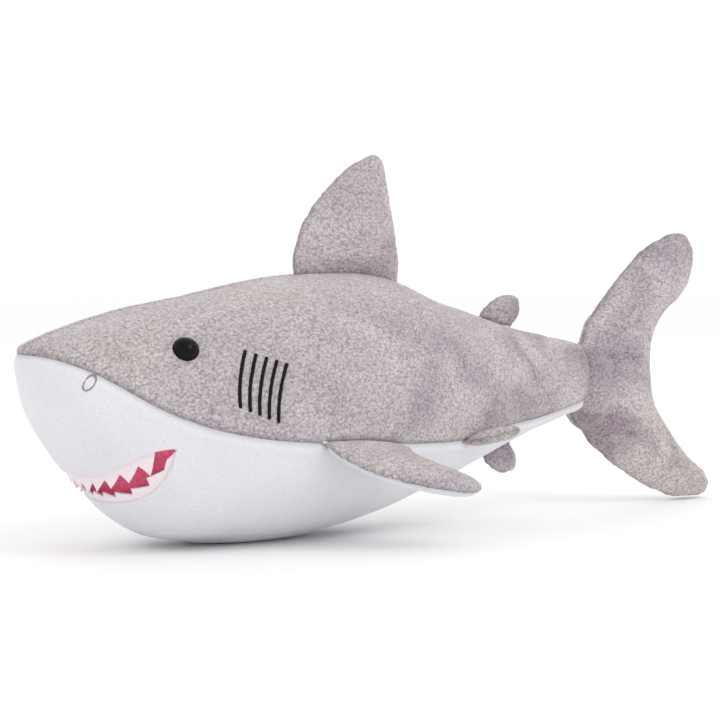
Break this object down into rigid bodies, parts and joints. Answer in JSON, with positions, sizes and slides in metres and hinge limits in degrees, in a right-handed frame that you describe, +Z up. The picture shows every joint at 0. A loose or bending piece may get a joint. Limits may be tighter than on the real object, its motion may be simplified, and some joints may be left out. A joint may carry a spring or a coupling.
{
  "type": "plush shark",
  "caption": "Stuffed toy shark lying on its belly, grey plush above and white below, with a toothed open mouth, bead eyes, stitched gills and soft sewn fins.",
  "frame": {"origin": "on the resting plane, at the middle of the toy's length and width", "axes": "+X from the nose to the tail fin, +Z up, -Y towards the shark's left side"},
  "size_m": [0.4296, 0.1906, 0.1878],
  "materials": {
    "grey_plush": "matte",
    "white_plush": "matte",
    "pink_lining": "matte",
    "tooth_felt": "matte",
    "eye_plastic": "gloss",
    "washer_plastic": "matte",
    "black_thread": "satin",
    "taupe_thread": "satin",
    "fibre_filling": "matte"
  },
  "bodies": {
    "body": {"left_back_panel": "grey_plush", "right_back_panel": "grey_plush", "snout_panel": "white_plush", "belly_panel": "white_plush", "body_stuffing": "fibre_filling", "mouth_lining": "pink_lining", "upper_teeth": "tooth_felt", "lower_teeth": "tooth_felt", "left_eye": "eye_plastic", "right_eye": "eye_plastic", "left_eye_washer": "washer_plastic", "right_eye_washer": "washer_plastic", "left_gill_stitches": "black_thread", "right_gill_stitches": "black_thread", "left_nostril_stitch": "taupe_thread", "right_nostril_stitch": "taupe_thread"},
    "first_dorsal": {"first_dorsal_left_face": "grey_plush", "first_dorsal_right_face": "grey_plush", "first_dorsal_stuffing": "fibre_filling"},
    "second_dorsal": {"second_dorsal_left_face": "grey_plush", "second_dorsal_right_face": "grey_plush", "second_dorsal_stuffing": "fibre_filling"},
    "anal_fin": {"anal_fin_left_face": "grey_plush", "anal_fin_right_face": "grey_plush", "anal_fin_stuffing": "fibre_filling"},
    "tail_fin": {"tail_fin_left_face": "grey_plush", "tail_fin_right_face": "grey_plush", "tail_fin_stuffing": "fibre_filling"},
    "left_pectoral_fin": {"left_pectoral_top": "grey_plush", "left_pectoral_underside": "white_plush", "left_pectoral_stuffing": "fibre_filling"},
    "left_pelvic_fin": {"left_pelvic_top": "grey_plush", "left_pelvic_underside": "grey_plush", "left_pelvic_stuffing": "fibre_filling"},
    "right_pectoral_fin": {"right_pectoral_top": "grey_plush", "right_pectoral_underside": "white_plush", "right_pectoral_stuffing": "fibre_filling"},
    "right_pelvic_fin": {"right_pelvic_top": "grey_plush", "right_pelvic_underside": "grey_plush", "right_pelvic_stuffing": "fibre_filling"}
  },
  "joints": [
    {"name": "first_dorsal_lean", "type": "hinge", "parent": "body", "child": "first_dorsal", "pos_m": [-0.0374, 0, 0.1306], "axis": [1, 0, 0], "range_deg": [-30, 30], "stiffness_Nm_per_rad": 0.05},
    {"name": "second_dorsal_lean", "type": "hinge", "parent": "body", "child": "second_dorsal", "pos_m": [0.0568, 0, 0.1061], "axis": [1, 0, 0], "range_deg": [-30, 30], "stiffness_Nm_per_rad": 0.005},
    {"name": "anal_fin_lean", "type": "hinge", "parent": "body", "child": "anal_fin", "pos_m": [0.0573, 0, 0.0313], "axis": [1, 0, 0], "range_deg": [-30, 30], "stiffness_Nm_per_rad": 0.005},
    {"name": "tail_fin_swing", "type": "hinge", "parent": "body", "child": "tail_fin", "pos_m": [0.118, 0, 0.072], "axis": [0, 0, 1], "range_deg": [-40, 40], "stiffness_Nm_per_rad": 0.1},
    {"name": "left_pectoral_flap", "type": "hinge", "parent": "body", "child": "left_pectoral_fin", "pos_m": [-0.06537, -0.0585, 0.04716], "axis": [-0.9886, -0.1322, 0.0725], "range_deg": [-25, 50], "stiffness_Nm_per_rad": 0.04},
    {"name": "right_pectoral_flap", "type": "hinge", "parent": "body", "child": "right_pectoral_fin", "pos_m": [-0.06537, 0.0585, 0.04716], "axis": [0.9886, -0.1322, -0.0725], "range_deg": [-25, 50], "stiffness_Nm_per_rad": 0.04},
    {"name": "left_pelvic_flap", "type": "hinge", "parent": "body", "child": "left_pelvic_fin", "pos_m": [0.0152, -0.03922, 0.04516], "axis": [-0.9617, -0.2531, -0.1055], "range_deg": [-45, 20], "stiffness_Nm_per_rad": 0.005},
    {"name": "right_pelvic_flap", "type": "hinge", "parent": "body", "child": "right_pelvic_fin", "pos_m": [0.0152, 0.03922, 0.04516], "axis": [0.9617, -0.2531, 0.1055], "range_deg": [-45, 20], "stiffness_Nm_per_rad": 0.005}
  ]
}
